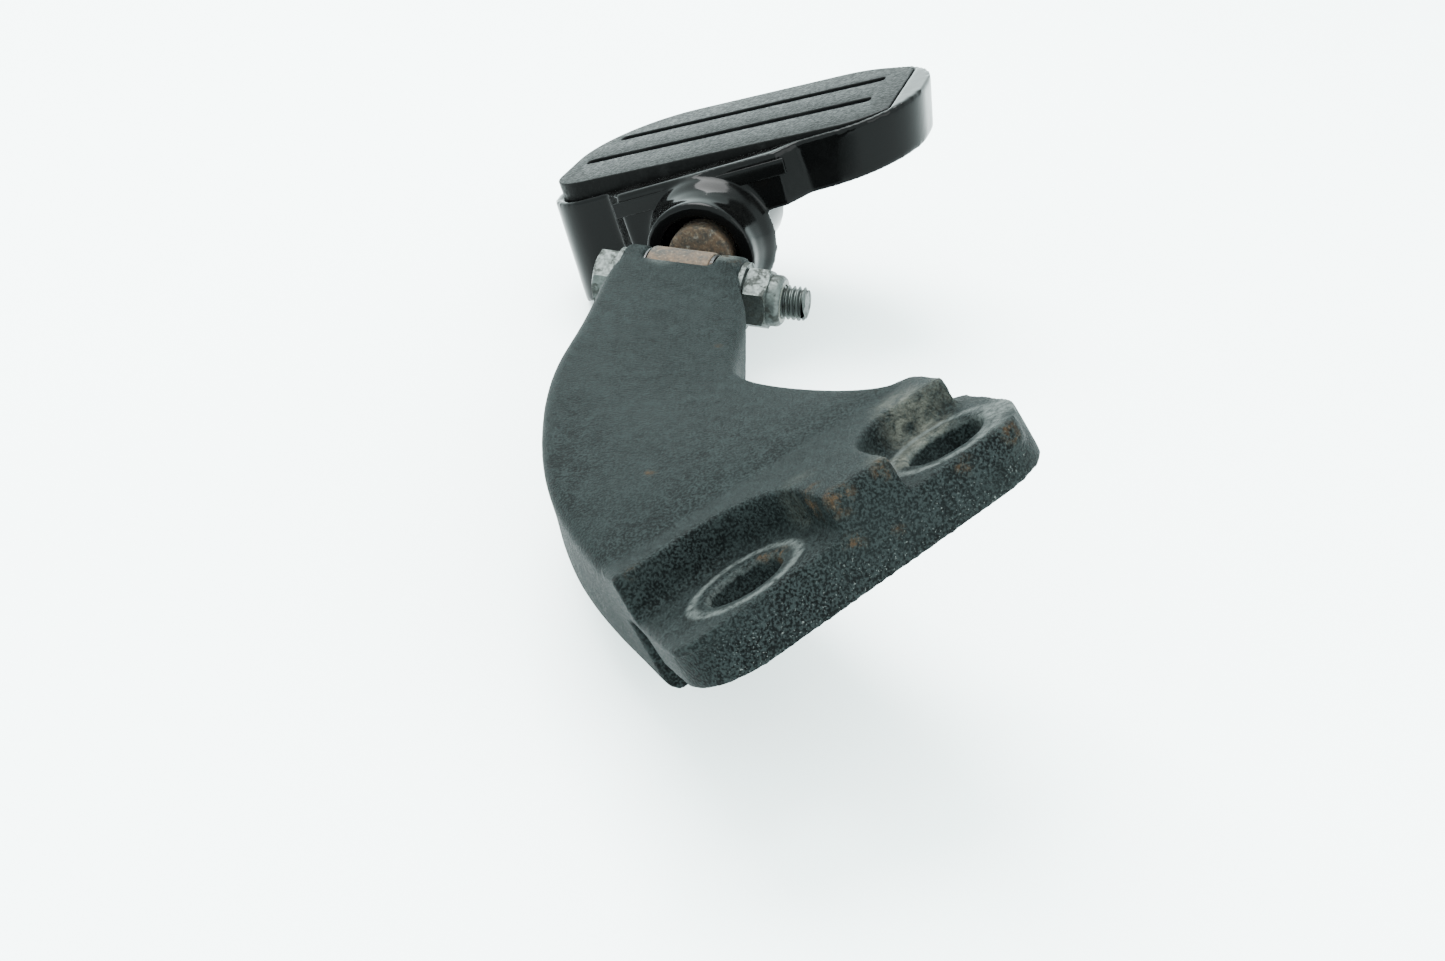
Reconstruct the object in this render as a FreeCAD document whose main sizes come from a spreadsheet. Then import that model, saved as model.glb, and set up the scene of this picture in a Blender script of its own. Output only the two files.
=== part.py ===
import FreeCAD, Part
import math
import os

import Sketcher

# A folding passenger foot peg. A forged steel arm with a two-hole flange ends in a
# fork, and a ribbed foot board folds up about the bolt through that fork.
# Millimetres. Origin midway between the two mounting holes, on the flange's spot
# faces. +X runs along the pivot bolt to its nut, +Y points out along the peg and +Z is
# up. Places in the dimensions are measured from the middle of the pivot's axis, and
# atPivot carries them to the origin.

V = FreeCAD.Vector
doc = FreeCAD.newDocument("foot_peg")
sheet = doc.addObject("Spreadsheet::Sheet", "dims")

driving = {
    # fork and its slot
    "forkLeft": -13.7, "forkRight": 15, "barrelRadius": 9, "slotWidth": 16.6,
    "slotRadius": 9.55, "slotBack": -10.6, "slotRoof": 0.4, "slotReach": 14,
    "boltHoleRadius": 4.2, "spotFaceRadius": 8.5, "spotFaceReach": 8,
    # pivot bolt, nut and washers
    "boltRadius": 4, "boltPastNut": 5.6, "hexFlats": 13, "headHeight": 5.3, "washerRadius": 8,
    "washerThick": 1.2, "nutHexHeight": 5.8, "nutCollarHeight": 3, "nutCollarRadius": 6,
    "insertRadius": 5, "insertHeight": 2,
    # washers in the slot, either side of the tang
    "springThick": 0.4, "springBow": 0.3, "springRadius": 8.6, "thrustThick": 0.7,
    "thrustRadius": 8.8, "slotWasherHole": 4.15,
    # hinge tang and its bush
    "tangWidth": 15, "tangRadius": 9.2, "heelBack": -10.3, "heelTop": -2, "heelBottom": -7,
    "tangShoulder": 13.6, "neckTop": 2.6, "neckBottom": -6, "shankRadius": 8,
    "shankLength": 23.9, "tangBoreDepth": 16, "bushRadius": 5.5, "bushBore": 4.05,
    "hubLift": 2,
    # flange
    "flangeX": 66.3, "flangeY": -119.9, "flangeZ": 25.4, "flangeYaw": 45.3,
    "flangePitch": -22.3, "flangeRoll": -27.6, "flangeThick": 9.6, "flangeNear": -11.4,
    "flangeFar": 23, "flangeLeft": -35, "flangeRight": 31.5, "nearCorner": 12,
    "farCorner": 4, "boltSpacing": 38, "mountHoleRadius": 6.5,
    # raised end of the arm over the flange, and the two pockets cut into it
    "palmRise": 6.6, "palmTilt": 2.4, "palmRight": 28.5, "palmThick": 25.2, "palmDepth": 10,
    "leftPocketRadius": 14, "rightPocketRadius": 12, "pocketReach": 30, "pocketHeight": 20,
    # foot board, measured from the hub's axis: its outline at the top, how far that
    # draws in at the bottom, and the heights of its tilted rim and of its underside
    "boardRoll": 18, "boardLeft": -45.5, "boardRight": 55, "boardNear": 30, "boardFar": 83.5,
    "nearLeftCorner": 12, "nearRightCorner": 20, "farBoardCorner": 29, "lowFarCorner": 22,
    "hullTop": 21, "hullBottom": -17, "flareLeft": 2.5, "drawNear": 1.5, "drawRight": 7, "drawFar": 7.5,
    "rimLeft": 14.5, "rimRight": 20, "skirtLeft": -15.5, "skirtBend": 5, "skirtMiddle": 3.5,
    "skirtRight": 7, "blockHalf": 26, "blockFront": 25.5,
    "seatHeight": 13.5, "rimWall": 2, "padEnd": 47.8, "hollowWall": 8, "hollowTop": 10,
    "hubFront": 13.6, "collarLength": 14.4, "collarRadius": 13.8, "hubRadius": 11.6,
    "hubBack": 50, "hubBore": 8.05, "hubBoreEnd": 38, "mouthRadius": 10.2, "mouthDepth": 4.6,
    "webBack": 42, "tangBoltHole": 4.4, "headRoomRadius": 9.2,
    # rubber pad and its plate
    "padTop": 19.5, "padGap": 0.3, "plateInset": 8, "plateEnd": 41, "plateThick": 1.6,
    "padHoleTop": 16.6, "padHoleRadius": 3.2, "grooveWidth": 3.4, "grooveDepth": 2,
    "groovePitch": 17, "grooveFirst": 50, "grooveInset": 7, "grooveCorner": 1.2,
    # fasteners of the peg
    "tangBoltLength": 18, "lockWasherThick": 2, "lockWasherRadius": 6.8,
    "padScrewRadius": 2.5, "padScrewHead": 2.8, "padScrewHeadRadius": 4.4,
    "padScrewEnd": 16.2, "padWasherThick": 1, "padWasherRadius": 5, "padFloorHole": 2.8,
    "grubRadius": 3, "grubLength": 5, "grubPlace": 28,
    # how far a cut runs to be sure of going through, and how far joined pieces overlap
    "cutThrough": 200, "overlap": 1,
}

# Stations of the arm, from the fork to the flange: the middle of the top edge, the
# width, the thickness, and the heading, lift and lean in degrees.
stations = {
    "fork": (0.65, -2, 9, 28.7, 18, 0, 0, 0),
    "neck": (3.2, -16.5, 9, 32.8, 18.4, 5, 0, -1),
    "wrist": (7.6, -36.5, 9.4, 35.6, 19.2, 11, -0.7, -4),
    "elbow": (10.8, -56, 9.9, 37.6, 20.4, 13, -2, -8),
    "bend": (17.5, -71, 11.2, 43.4, 21.6, 25, -6, -14),
    "spread": (28.5, -86.5, 14.2, 52.4, 23, 32, -13, -21),
}
stationFields = ("X", "Y", "Z", "Width", "Thick", "Yaw", "Pitch", "Roll")

# Places of the three screws that hold the pad, across and along the board, and the
# number of grooves across its top.
padScrewPlaces = ((-28, 47), (4, 69), (36, 47))
grooveCount = 2

for name, values in stations.items():
    for field, value in zip(stationFields, values):
        driving[name + field] = value

for row, (alias, value) in enumerate(driving.items(), start=1):
    sheet.set("A%d" % row, alias)
    sheet.set("B%d" % row, str(value))
    sheet.setAlias("B%d" % row, alias)
doc.recompute()

tolerance = 1e-3
alongX = FreeCAD.Rotation(V(0, 1, 0), 90)
alongY = FreeCAD.Rotation(V(1, 0, 0), -90)
standing = FreeCAD.Rotation(V(1, 0, 0), 90)


def dim(alias):
    return float(getattr(sheet, alias))


def bind(thing, **expressions):
    for path, expression in expressions.items():
        thing.setExpression(path, expression)


# ---- frames ----

atPivot = FreeCAD.Placement(-V(dim("flangeX"), dim("flangeY"), dim("flangeZ")), FreeCAD.Rotation())


def flangeFrame():
    # On the flange's spot faces, midway between the mounting holes, X along their line.
    turn = FreeCAD.Rotation(dim("flangeYaw"), dim("flangePitch"), dim("flangeRoll"))
    return FreeCAD.Placement(V(dim("flangeX"), dim("flangeY"), dim("flangeZ")), turn)


def palmFrame(lift=0):
    # The arm's top over the flange, which tips down towards the right.
    tip = FreeCAD.Rotation(V(0, 1, 0), dim("palmTilt"))
    return flangeFrame().multiply(FreeCAD.Placement(V(0, 0, lift), tip))


def stationFrame(name):
    turn = FreeCAD.Rotation(dim(name + "Yaw"), dim(name + "Pitch"), dim(name + "Roll"))
    base = V(dim(name + "X"), dim(name + "Y"), dim(name + "Z"))
    return FreeCAD.Placement(base, turn.multiply(standing))


def boardFrame():
    # On the hub's axis, rolled about it.
    turn = FreeCAD.Rotation(V(0, 1, 0), -dim("boardRoll"))
    return FreeCAD.Placement(V(0, 0, dim("hubLift")), turn)


def shifted(x=0, y=0, z=0, turn=FreeCAD.Rotation()):
    return FreeCAD.Placement(V(x, y, z), turn)


# ---- bodies and sketches ----

def newBody(label, placement=FreeCAD.Placement()):
    body = doc.addObject("PartDesign::Body", label)
    body.Label = label
    body.Placement = atPivot.multiply(placement)
    return body


def sketchAt(body, name, placement=FreeCAD.Placement(), role="XY_Plane"):
    sketch = body.newObject("Sketcher::SketchObject", name)
    plane = next(f for f in body.Origin.OriginFeatures if f.Role == role)
    sketch.AttachmentSupport = [(plane, "")]
    sketch.MapMode = "FlatFace"
    sketch.AttachmentOffset = placement
    return sketch


def drawCircle(sketch, x, y, radius):
    edge = sketch.addGeometry(Part.Circle(V(x, y, 0), V(0, 0, 1), dim(radius)), False)
    size = sketch.addConstraint(Sketcher.Constraint("Radius", edge, dim(radius)))
    sketch.setExpression("Constraints[%d]" % size, "dims.%s" % radius)


def drawEdges(sketch, edges):
    for edge in edges:
        sketch.addGeometry(edge, False)


def drawPolygon(sketch, points):
    corners = [V(x, y, 0) for x, y in points]
    drawEdges(sketch, [Part.LineSegment(a, b) for a, b in zip(corners, corners[1:] + corners[:1])])


def roundedBox(left, bottom, right, top, *radii):
    # Anticlockwise from the bottom right corner. The radii run the same way round from
    # the bottom left one, and a single radius serves all four corners.
    bottomLeft, bottomRight, topRight, topLeft = radii * 4 if len(radii) == 1 else radii
    corners = ((right, bottom, bottomRight, -1, 1, -1), (right, top, topRight, -1, -1, 0),
               (left, top, topLeft, 1, -1, 1), (left, bottom, bottomLeft, 1, 1, 2))
    arcs = []
    for x, y, radius, inX, inY, turn in corners:
        circle = Part.Circle(V(x + inX * radius, y + inY * radius, 0), V(0, 0, 1), radius)
        arcs.append(Part.ArcOfCircle(circle, turn * math.pi / 2, (turn + 1) * math.pi / 2))
    edges = []
    for arc, following in zip(arcs, arcs[1:] + arcs[:1]):
        edges.append(arc)
        edges.append(Part.LineSegment(arc.EndPoint, following.StartPoint))
    return edges


def feature(kind, body, sketch, name, length, reverse=False, midplane=False):
    made = body.newObject("PartDesign::" + kind, name)
    made.Profile = sketch
    made.setExpression("Length", length)
    made.Reversed = reverse
    made.Midplane = midplane
    doc.recompute()
    return made


def pad(body, sketch, name, length, **options):
    return feature("Pad", body, sketch, name, length, **options)


def pocket(body, sketch, name, length, **options):
    before = body.Shape.Volume
    made = feature("Pocket", body, sketch, name, length, **options)
    assert body.Shape.Volume < before - tolerance, name + " cuts nothing"
    return made


# ---- plain primitives ----

def cylinder(label, radius, height, placement):
    solid = doc.addObject("Part::Cylinder", label)
    bind(solid, Radius=radius, Height=height)
    solid.Placement = atPivot.multiply(placement)
    return solid


def hexagon(label, flats, height, placement):
    solid = doc.addObject("Part::Prism", label)
    solid.Polygon = 6
    bind(solid, Circumradius="%s / sqrt(3)" % flats, Height=height)
    solid.Placement = atPivot.multiply(placement)
    return solid


def cut(label, base, tool):
    result = doc.addObject("Part::Cut", label)
    result.Label = label
    result.Base = base
    result.Tool = tool
    return result


def fuse(label, pieces):
    result = doc.addObject("Part::MultiFuse", label)
    result.Label = label
    result.Shapes = pieces
    return result


def common(label, pieces):
    result = doc.addObject("Part::MultiCommon", label)
    result.Label = label
    result.Shapes = pieces
    return result


def gather(label, pieces):
    result = doc.addObject("Part::Compound", label)
    result.Label = label
    result.Links = pieces
    return result


def ring(label, outer, inner, height, placement):
    outside = cylinder(label + "Outside", outer, height, placement)
    inside = cylinder(label + "Inside", inner, height, placement)
    return cut(label, outside, inside)


# ---- mount_bracket ----

def armSection(body, name, placement, width, thick):
    corner = 3
    sketch = sketchAt(body, name + "Section", placement)
    drawEdges(sketch, roundedBox(-width / 2, -thick, width / 2, 0, corner))
    return sketch


def makeArm(body):
    sections = [armSection(body, name, stationFrame(name), dim(name + "Width"), dim(name + "Thick"))
                for name in stations]
    left = dim("flangeLeft")
    right = dim("palmRight")
    end = palmFrame(dim("palmRise")).multiply(shifted((left + right) / 2, dim("flangeFar"), 0, standing))
    sections.append(armSection(body, "palm", end, right - left, dim("palmThick")))
    loft = body.newObject("PartDesign::AdditiveLoft", "armLoft")
    loft.Profile = sections[0]
    loft.Sections = sections[1:]
    doc.recompute()


def makeFlange(body):
    overlap = 4
    near = dim("flangeNear")
    left = dim("flangeLeft")
    back = dim("flangeFar") + overlap
    plate = sketchAt(body, "flangeOutline", flangeFrame())
    corner = dim("nearCorner")
    farCorner = dim("farCorner")
    drawEdges(plate, roundedBox(left, near, dim("flangeRight"), back - 2 * overlap,
                                corner, corner, farCorner, farCorner))
    pad(body, plate, "flangePlate", "dims.flangeThick", reverse=True)
    palm = sketchAt(body, "palmOutline", palmFrame(dim("palmRise")))
    drawEdges(palm, roundedBox(left, near, dim("palmRight"), back, farCorner))
    pad(body, palm, "palmBlock", "dims.palmDepth", reverse=True)


def pocketEdges(side, radius):
    # A round back wall about the mounting hole, open to the near edge and the outer end.
    centre = side * dim("boltSpacing") / 2
    reach = dim("pocketReach")
    inner = centre - side * radius
    outer = centre + side * reach
    circle = Part.Circle(V(centre, 0, 0), V(0, 0, 1), radius)
    start, stop = (math.pi / 2, math.pi) if side > 0 else (0, math.pi / 2)
    arc = Part.ArcOfCircle(circle, start, stop)
    return [
        arc,
        Part.LineSegment(V(inner, 0, 0), V(inner, -reach, 0)),
        Part.LineSegment(V(inner, -reach, 0), V(outer, -reach, 0)),
        Part.LineSegment(V(outer, -reach, 0), V(outer, radius, 0)),
        Part.LineSegment(V(outer, radius, 0), V(centre, radius, 0)),
    ]


def makeSlot(body):
    # Round about the pivot, open to the front, and cut away below and behind for the heel.
    half = dim("slotWidth") / 2
    reach = dim("slotReach")
    back = dim("slotBack")
    front = sketchAt(body, "slotFrontOutline")
    drawPolygon(front, ((-half, 0), (half, 0), (half, reach), (-half, reach)))
    pocket(body, front, "slotFront", "dims.cutThrough", midplane=True)
    eye = sketchAt(body, "slotEyeOutline", role="YZ_Plane")
    drawCircle(eye, 0, 0, "slotRadius")
    pocket(body, eye, "slotEye", "dims.slotWidth", midplane=True)
    heel = sketchAt(body, "slotHeelOutline", shifted(z=dim("slotRoof")))
    drawPolygon(heel, ((-half, back), (half, back), (half, 0), (-half, 0)))
    pocket(body, heel, "slotHeel", "dims.cutThrough")


def makeBracket():
    body = newBody("mount_bracket")
    makeArm(body)
    makeFlange(body)
    barrel = sketchAt(body, "barrelOutline", shifted(z=dim("forkLeft")), "YZ_Plane")
    drawCircle(barrel, 0, 0, "barrelRadius")
    pad(body, barrel, "barrelPad", "dims.forkRight - dims.forkLeft")
    for side, name in ((-1, "left"), (1, "right")):
        outline = sketchAt(body, name + "PocketOutline", flangeFrame())
        drawEdges(outline, pocketEdges(side, dim(name + "PocketRadius")))
        pocket(body, outline, name + "Pocket", "dims.pocketHeight", reverse=True)
        hole = sketchAt(body, name + "HoleOutline", flangeFrame())
        drawCircle(hole, side * dim("boltSpacing") / 2, 0, "mountHoleRadius")
        pocket(body, hole, name + "Hole", "dims.pocketHeight")
    for side, reverse in (("Left", False), ("Right", True)):
        spot = sketchAt(body, "spotFace" + side, shifted(z=dim("fork" + side)), "YZ_Plane")
        drawCircle(spot, 0, 0, "spotFaceRadius")
        pocket(body, spot, "washerRoom" + side, "dims.spotFaceReach", reverse=reverse)
    makeSlot(body)
    pivot = sketchAt(body, "pivotOutline", role="YZ_Plane")
    drawCircle(pivot, 0, 0, "boltHoleRadius")
    pocket(body, pivot, "pivotHole", "dims.cutThrough", midplane=True)
    return body


# ---- pivot bolt, nut and washers ----

def makePivotHardware():
    washer = dim("washerThick")
    face = dim("forkRight")
    headSide = dim("forkLeft") - washer
    nutSide = face + washer
    head = hexagon("pivotHead", "dims.hexFlats", "dims.headHeight",
                   shifted(headSide - dim("headHeight"), 0, 0, alongX))
    shank = cylinder("pivotShank", "dims.boltRadius",
                     "dims.forkRight - dims.forkLeft + 2 * dims.washerThick + dims.nutHexHeight"
                     " + dims.nutCollarHeight + dims.boltPastNut", shifted(headSide, 0, 0, alongX))
    bolt = fuse("pivot_bolt", [head, shank])
    headWasher = ring("head_washer", "dims.washerRadius", "dims.boltHoleRadius",
                      "dims.washerThick", shifted(headSide, 0, 0, alongX))
    nutWasher = ring("nut_washer", "dims.washerRadius", "dims.boltHoleRadius",
                     "dims.washerThick", shifted(face, 0, 0, alongX))
    hexPart = hexagon("nutHex", "dims.hexFlats", "dims.nutHexHeight", shifted(nutSide, 0, 0, alongX))
    collarStart = nutSide + dim("nutHexHeight")
    collar = cylinder("nutCollar", "dims.nutCollarRadius", "dims.nutCollarHeight",
                      shifted(collarStart, 0, 0, alongX))
    solidNut = fuse("nutSolid", [hexPart, collar])
    bore = cylinder("nutBore", "dims.boltRadius", "dims.cutThrough", shifted(nutSide, 0, 0, alongX))
    recessStart = collarStart + dim("nutCollarHeight") - dim("insertHeight")
    recess = cylinder("nutRecess", "dims.insertRadius", "dims.cutThrough",
                      shifted(recessStart, 0, 0, alongX))
    nut = cut("pivot_nut", solidNut, fuse("nutHollow", [bore, recess]))
    insert = ring("nut_insert", "dims.insertRadius", "dims.boltRadius", "dims.insertHeight",
                  shifted(recessStart, 0, 0, alongX))
    return [bolt, headWasher, nutWasher, nut, insert]


def makeSlotWashers():
    # A bowed spring washer on the head side of the tang, a flat one on the nut side.
    gapStart = -dim("slotWidth") / 2
    bow = dim("springBow")
    thick = dim("springThick")
    reach = dim("springRadius")
    bend = (reach * reach + bow * bow) / (2 * bow)
    disc = ring("springDisc", "dims.springRadius", "dims.slotWasherHole",
                "dims.springThick + dims.springBow", shifted(gapStart, 0, 0, alongX))
    bent = doc.addObject("Part::Feature", "springBend")
    axis = V(gapStart + bend + tolerance, 0, -reach)
    outer = Part.makeCylinder(bend, 2 * reach, axis)
    inner = Part.makeCylinder(bend - thick, 2 * reach, axis)
    bent.Shape = outer.cut(inner)
    bent.Placement = atPivot
    spring = common("spring_washer", [disc, bent])
    thrust = ring("thrust_washer", "dims.thrustRadius", "dims.slotWasherHole", "dims.thrustThick",
                  shifted(dim("slotWidth") / 2 - dim("thrustThick"), 0, 0, alongX))
    return [spring, thrust]


# ---- hinge_tang and its bush ----

def tangEdges():
    radius = dim("tangRadius")
    shoulder = dim("tangShoulder")
    neck = dim("neckTop")
    turn = math.asin(neck / radius)
    points = ((-radius, 0), (dim("heelBack"), dim("heelTop")), (dim("heelBack"), dim("heelBottom")),
              (0, -radius), (shoulder, dim("neckBottom")), (shoulder, neck),
              (radius * math.cos(turn), neck))
    corners = [V(y, z, 0) for y, z in points]
    circle = Part.Circle(V(0, 0, 0), V(0, 0, 1), radius)
    lines = [Part.LineSegment(a, b) for a, b in zip(corners, corners[1:])]
    return [Part.ArcOfCircle(circle, turn, math.pi)] + lines


def makeTang():
    body = newBody("hinge_tang")
    cheek = sketchAt(body, "cheekOutline", role="YZ_Plane")
    drawEdges(cheek, tangEdges())
    pad(body, cheek, "cheek", "dims.tangWidth", midplane=True)
    start = shifted(0, dim("hubLift"), -dim("tangShoulder"))
    shank = sketchAt(body, "shankOutline", start, "XZ_Plane")
    drawCircle(shank, 0, 0, "shankRadius")
    pad(body, shank, "shank", "dims.shankLength", reverse=True)
    eye = sketchAt(body, "eyeOutline", role="YZ_Plane")
    drawCircle(eye, 0, 0, "bushRadius")
    pocket(body, eye, "eye", "dims.cutThrough", midplane=True)
    end = shifted(0, dim("hubLift"), -dim("tangShoulder") - dim("shankLength"))
    thread = sketchAt(body, "threadOutline", end, "XZ_Plane")
    drawCircle(thread, 0, 0, "boltRadius")
    pocket(body, thread, "threadBore", "dims.tangBoreDepth", reverse=True)
    bush = ring("pivot_bushing", "dims.bushRadius", "dims.bushBore", "dims.tangWidth",
                shifted(-dim("tangWidth") / 2, 0, 0, alongX))
    return [body, bush]


# ---- foot_board ----

def boardEdges(inset=0, end=None):
    # The board's outline at its top, drawn in all round, and cut off straight at the end.
    radii = [max(dim(name) - inset, dim("overlap")) for name in
             ("nearLeftCorner", "nearRightCorner", "farBoardCorner", "farBoardCorner")]
    edges = roundedBox(dim("boardLeft") + inset, dim("boardNear") + inset,
                       dim("boardRight") - inset, dim("boardFar") - inset, *radii)
    if end is None:
        return edges
    nearArc, _, farArc = edges[:3]
    nearTurn = math.acos((end - nearArc.Center.x) / nearArc.Radius)
    farTurn = math.acos((end - farArc.Center.x) / farArc.Radius)
    nearArc = Part.ArcOfCircle(nearArc.Circle, -math.pi / 2, -nearTurn)
    farArc = Part.ArcOfCircle(farArc.Circle, farTurn, math.pi / 2)
    return [nearArc, Part.LineSegment(nearArc.EndPoint, farArc.StartPoint), farArc] + edges[3:]


def boardEnds():
    # The board's two ends, with room to spare, and the bend in its underside.
    left = dim("boardLeft") - dim("flareLeft") - dim("overlap")
    return left, dim("skirtBend"), dim("boardRight") + dim("overlap")


def undersideAt(x):
    left, bend, right = boardEnds()
    start, low = (left, dim("skirtLeft")) if x < bend else (right, dim("skirtRight"))
    return low + (dim("skirtMiddle") - low) * (x - start) / (bend - start)


def rimAt(x):
    left, _, right = boardEnds()
    return dim("rimLeft") + (dim("rimRight") - dim("rimLeft")) * (x - left) / (right - left)


def makeHull(body):
    # The outline draws in towards the bottom, but flares a little at the left end.
    low = sketchAt(body, "lowOutline", shifted(z=dim("hullBottom")))
    farCorner = dim("lowFarCorner")
    drawEdges(low, roundedBox(dim("boardLeft") - dim("flareLeft"), dim("boardNear") + dim("drawNear"),
                              dim("boardRight") - dim("drawRight"), dim("boardFar") - dim("drawFar"),
                              dim("nearLeftCorner"), dim("nearRightCorner"), farCorner, farCorner))
    high = sketchAt(body, "highOutline", shifted(z=dim("hullTop")))
    drawEdges(high, boardEdges())
    loft = body.newObject("PartDesign::AdditiveLoft", "hullLoft")
    loft.Profile = low
    loft.Sections = [high]
    doc.recompute()
    ends = boardEnds()
    under = sketchAt(body, "undersideOutline", role="XZ_Plane")
    below = dim("hullBottom") - dim("overlap")
    drawPolygon(under, [(x, below) for x in ends] + [(x, undersideAt(x)) for x in reversed(ends)])
    pocket(body, under, "undersideCut", "dims.cutThrough", midplane=True)
    rim = sketchAt(body, "rimOutline", role="XZ_Plane")
    above = dim("hullTop") + dim("overlap")
    drawPolygon(rim, [(x, rimAt(x)) for x in ends] + [(x, above) for x in reversed(ends)])
    pocket(body, rim, "rimCut", "dims.cutThrough", midplane=True)


def makeBlock(body):
    # The middle of the near side stands forward around the hub.
    half = dim("blockHalf")
    bottom = (half, dim("skirtBend"), -half)
    start = shifted(z=-dim("blockFront"))
    face = sketchAt(body, "blockOutline", start, "XZ_Plane")
    drawPolygon(face, [(x, undersideAt(x)) for x in bottom] + [(x, rimAt(x)) for x in (-half, half)])
    pad(body, face, "blockPad", "dims.boardNear + dims.hollowWall - dims.blockFront", reverse=True)


def hubCircle(body, name, start, radius):
    sketch = sketchAt(body, name + "Outline", shifted(0, 0, -start), "XZ_Plane")
    drawCircle(sketch, 0, 0, radius)
    return sketch


def makeBoard():
    body = newBody("foot_board", boardFrame())
    overlap = dim("overlap")
    makeHull(body)
    makeBlock(body)
    seat = sketchAt(body, "seatOutline", shifted(z=dim("seatHeight")))
    drawEdges(seat, boardEdges(dim("rimWall"), dim("padEnd") + dim("padGap")))
    pocket(body, seat, "padSeat", "dims.cutThrough", reverse=True)
    hollow = sketchAt(body, "hollowOutline", shifted(z=dim("hollowTop")))
    drawEdges(hollow, boardEdges(dim("hollowWall")))
    pocket(body, hollow, "underHollow", "dims.cutThrough")
    hub = hubCircle(body, "hub", dim("hubFront"), "hubRadius")
    pad(body, hub, "hubPad", "dims.hubBack - dims.hubFront", reverse=True)
    collar = hubCircle(body, "collar", dim("hubFront"), "collarRadius")
    pad(body, collar, "collarPad", "dims.collarLength", reverse=True)
    bore = hubCircle(body, "hubBore", dim("hubFront"), "hubBore")
    pocket(body, bore, "hubBorePocket", "dims.hubBoreEnd - dims.hubFront")
    mouth = hubCircle(body, "mouth", dim("hubFront"), "mouthRadius")
    pocket(body, mouth, "mouthPocket", "dims.mouthDepth")
    boltHole = hubCircle(body, "tangBoltHole", dim("hubBoreEnd") - overlap, "tangBoltHole")
    pocket(body, boltHole, "tangBoltPocket", "dims.webBack - dims.hubBoreEnd + 2 * dims.overlap")
    headRoom = hubCircle(body, "headRoom", dim("webBack"), "headRoomRadius")
    pocket(body, headRoom, "headRoomPocket", "dims.hubBack - dims.webBack + dims.overlap")
    screws = sketchAt(body, "screwHoles", shifted(z=dim("seatHeight") + overlap))
    for x, y in padScrewPlaces:
        drawCircle(screws, x, y, "padFloorHole")
    pocket(body, screws, "screwPockets", "dims.seatHeight - dims.hollowTop + 2 * dims.overlap")
    grub = sketchAt(body, "grubHole")
    drawCircle(grub, 0, dim("grubPlace"), "grubRadius")
    pocket(body, grub, "grubPocket", "dims.cutThrough")
    return body


# ---- rubber_pad and pad_plate ----

def cornerLoss(along):
    # How far the board's far corner has rounded its side away at this distance out.
    radius = dim("farBoardCorner")
    into = max(along - dim("boardFar") + radius, 0)
    return radius - math.sqrt(radius ** 2 - into ** 2)


def drawGrooves(sketch):
    half = dim("grooveWidth") / 2
    for number in range(grooveCount):
        along = dim("grooveFirst") + number * dim("groovePitch")
        inset = dim("grooveInset") + cornerLoss(along + half)
        drawEdges(sketch, roundedBox(dim("boardLeft") + inset, along - half,
                                     dim("padEnd") - dim("grooveInset"), along + half,
                                     dim("grooveCorner")))


def makePad():
    body = newBody("rubber_pad", boardFrame())
    inset = dim("rimWall") + dim("padGap")
    outline = sketchAt(body, "padOutline", shifted(z=dim("seatHeight")))
    drawEdges(outline, boardEdges(inset, dim("padEnd")))
    pad(body, outline, "padBlock", "dims.padTop - dims.seatHeight")
    under = sketchAt(body, "plateRecess", shifted(z=dim("seatHeight")))
    drawEdges(under, boardEdges(dim("plateInset"), dim("plateEnd")))
    pocket(body, under, "plateRecessPocket", "dims.plateThick", reverse=True)
    holes = sketchAt(body, "screwRoom", shifted(z=dim("seatHeight")))
    for x, y in padScrewPlaces:
        drawCircle(holes, x, y, "padHoleRadius")
    pocket(body, holes, "screwRoomPocket", "dims.padHoleTop - dims.seatHeight", reverse=True)
    grooves = sketchAt(body, "grooveOutlines", shifted(z=dim("padTop")))
    drawGrooves(grooves)
    pocket(body, grooves, "groovePocket", "dims.grooveDepth")
    plate = newBody("pad_plate", boardFrame())
    plateOutline = sketchAt(plate, "plateOutline", shifted(z=dim("seatHeight")))
    drawEdges(plateOutline, boardEdges(dim("plateInset"), dim("plateEnd")))
    for x, y in padScrewPlaces:
        drawCircle(plateOutline, x, y, "padScrewRadius")
    pad(plate, plateOutline, "platePad", "dims.plateThick")
    return [body, plate]


# ---- fasteners of the peg ----

def onBoard(x, y, z, turn=FreeCAD.Rotation()):
    return boardFrame().multiply(shifted(x, y, z, turn))


def makePadScrews():
    screws = []
    washers = []
    under = dim("hollowTop") - dim("padWasherThick")
    for number, (x, y) in enumerate(padScrewPlaces, start=1):
        tag = "padScrew%d" % number
        shank = cylinder(tag + "Shank", "dims.padScrewRadius",
                         "dims.padScrewEnd - dims.hollowTop + dims.padWasherThick", onBoard(x, y, under))
        head = cylinder(tag + "Head", "dims.padScrewHeadRadius", "dims.padScrewHead",
                        onBoard(x, y, under - dim("padScrewHead")))
        screws.append(fuse(tag, [shank, head]))
        washers.append(ring("padWasher%d" % number, "dims.padWasherRadius", "dims.padFloorHole",
                            "dims.padWasherThick", onBoard(x, y, under)))
    return [gather("pad_screws", screws), gather("pad_washers", washers)]


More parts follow.
